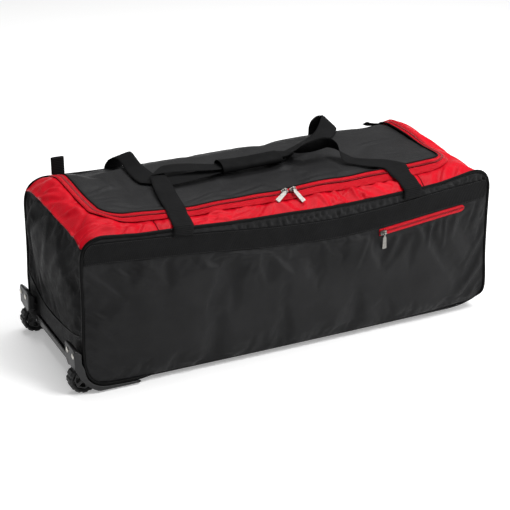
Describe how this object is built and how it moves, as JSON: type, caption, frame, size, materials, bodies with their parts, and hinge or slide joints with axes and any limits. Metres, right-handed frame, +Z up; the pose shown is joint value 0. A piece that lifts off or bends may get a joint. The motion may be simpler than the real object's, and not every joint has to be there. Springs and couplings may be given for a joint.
{
  "type": "wheeled kit bag",
  "caption": "Long soft wheeled sports bag with a zipped lid on a red gusset, webbing handles joined by a wrap, a zipped front pocket, corner guards and wheels at one end.",
  "frame": {"origin": "on the floor, under the middle of the outer box", "axes": "+X along the bag away from the wheels, +Y from the pocket side to the back, +Z up"},
  "size_m": [0.9168, 0.3564, 0.3789],
  "materials": {
    "shell_cloth": "soft woven polyester, faint sheen",
    "coated_cloth": "coated woven polyester, satin",
    "red_cloth": "shiny woven polyester, puckered",
    "red_zip_tape": "woven tape with a coil zip",
    "webbing": "ribbed webbing, matt",
    "piping": "smooth satin",
    "guard_plastic": "moulded, fine grain",
    "trim_plastic": "glossy moulded strip",
    "tyre_rubber": "matt rubber",
    "nickel": "bright nickel plate",
    "axle_steel": "plain turned steel"
  },
  "bodies": {
    "bag": {"front_panel": "shell_cloth", "back_panel": "shell_cloth", "wheel_end_panel": "shell_cloth", "far_end_panel": "shell_cloth", "lid_panel": "shell_cloth", "base_panel": "coated_cloth", "kick_panel": "coated_cloth", "gusset_front": "red_cloth", "gusset_wheel_end": "red_cloth", "gusset_far_end": "red_cloth", "lid_zip_tape": "red_zip_tape", "pocket_zip_tape": "red_zip_tape", "front_band": "webbing", "back_band": "webbing", "front_handle": "webbing", "back_handle": "webbing", "handle_wrap": "webbing", "wheel_end_tab": "webbing", "far_end_tab": "webbing", "front_piping": "piping", "back_piping": "piping", "kick_piping": "piping", "lid_piping": "piping", "wheel_housing_front": "guard_plastic", "wheel_housing_back": "guard_plastic", "base_edge_trim": "trim_plastic", "lid_slider_left": "nickel", "lid_slider_right": "nickel", "pocket_slider": "nickel", "rivet_front_outer": "nickel", "rivet_front_inner": "nickel", "rivet_back_outer": "nickel", "rivet_back_inner": "nickel", "axle_front": "axle_steel", "axle_back": "axle_steel"},
    "front_wheel": {"tyre_front": "tyre_rubber", "hub_front": "guard_plastic"},
    "back_wheel": {"tyre_back": "tyre_rubber", "hub_back": "guard_plastic"},
    "left_lid_pull": {"lid_pull_left": "nickel"},
    "right_lid_pull": {"lid_pull_right": "nickel"},
    "pocket_zip_pull": {"pocket_pull": "nickel"}
  },
  "joints": [
    {"name": "front_wheel_spin", "type": "hinge", "parent": "bag", "child": "front_wheel", "pos_m": [-0.42881, -0.13831, 0.03], "axis": [0, 1, 0], "continuous": true},
    {"name": "back_wheel_spin", "type": "hinge", "parent": "bag", "child": "back_wheel", "pos_m": [-0.42881, 0.15069, 0.03], "axis": [0, 1, 0], "continuous": true},
    {"name": "left_lid_pull_swing", "type": "hinge", "parent": "bag", "child": "left_lid_pull", "pos_m": [0.0059, -0.11695, 0.32899], "axis": [-0.9995, 0, -0.0322], "range_deg": [0, 200]},
    {"name": "right_lid_pull_swing", "type": "hinge", "parent": "bag", "child": "right_lid_pull", "pos_m": [0.02382, -0.11708, 0.32962], "axis": [-0.9991, 0, -0.0419], "range_deg": [0, 200]},
    {"name": "pocket_pull_swing", "type": "hinge", "parent": "bag", "child": "pocket_zip_pull", "pos_m": [0.19919, -0.17503, 0.223], "axis": [-0.9954, 0, -0.0958], "range_deg": [0, 160]}
  ]
}
